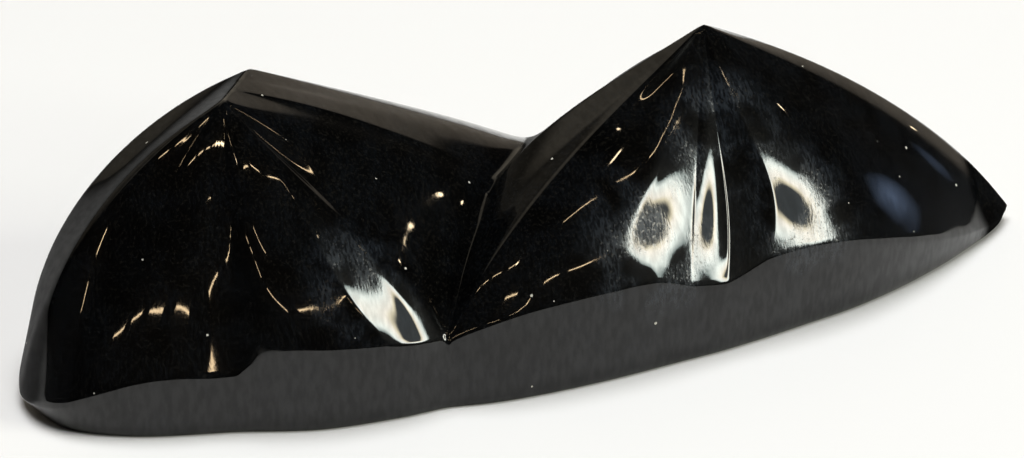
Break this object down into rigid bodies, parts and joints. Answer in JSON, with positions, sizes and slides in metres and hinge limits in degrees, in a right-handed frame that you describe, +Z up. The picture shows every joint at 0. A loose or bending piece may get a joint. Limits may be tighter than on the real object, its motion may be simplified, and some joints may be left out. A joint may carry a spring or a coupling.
{
  "type": "polished obsidian chunk",
  "caption": "Polished chunk of black volcanic glass: a flat base, a smooth band round it, and two sharp-peaked humps with flowing chipped facets and a valley between them.",
  "frame": {"origin": "middle of the bounding box in plan, at the height of the flat base", "axes": "+X along the stone's length towards its low tapered tip, +Y from its front to its back, +Z up"},
  "size_m": [0.1502, 0.0518, 0.0405],
  "materials": {
    "black_obsidian": "polished"
  },
  "bodies": {
    "root": {"obsidian_chunk": "black_obsidian"}
  },
  "joints": []
}
